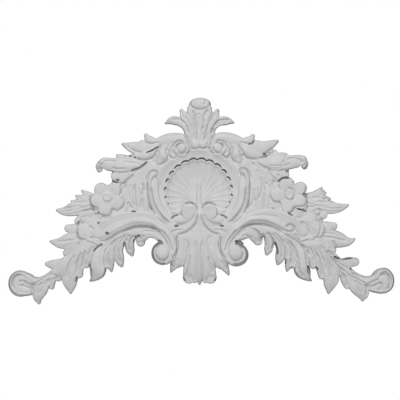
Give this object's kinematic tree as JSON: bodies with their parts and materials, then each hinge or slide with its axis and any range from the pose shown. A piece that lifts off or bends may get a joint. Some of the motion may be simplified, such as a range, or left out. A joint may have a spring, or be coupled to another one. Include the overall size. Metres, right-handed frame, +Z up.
{
  "type": "scroll onlay",
  "caption": "Flat-backed carved onlay with a shell in a round frame, acanthus scrolls, flowers and leaves spreading down to a rolled scroll at each end.",
  "frame": {"origin": "on the flat back, below the middle of the shell, on the line between the twin volutes", "axes": "+X to the right along the onlay, +Z up, +Y out of the back; the carving faces -Y"},
  "size_m": [0.6491, 0.0355, 0.3479],
  "materials": {
    "primed_casting": "matte, factory primed"
  },
  "bodies": {
    "root": {"scroll_onlay": "primed_casting"}
  },
  "joints": []
}
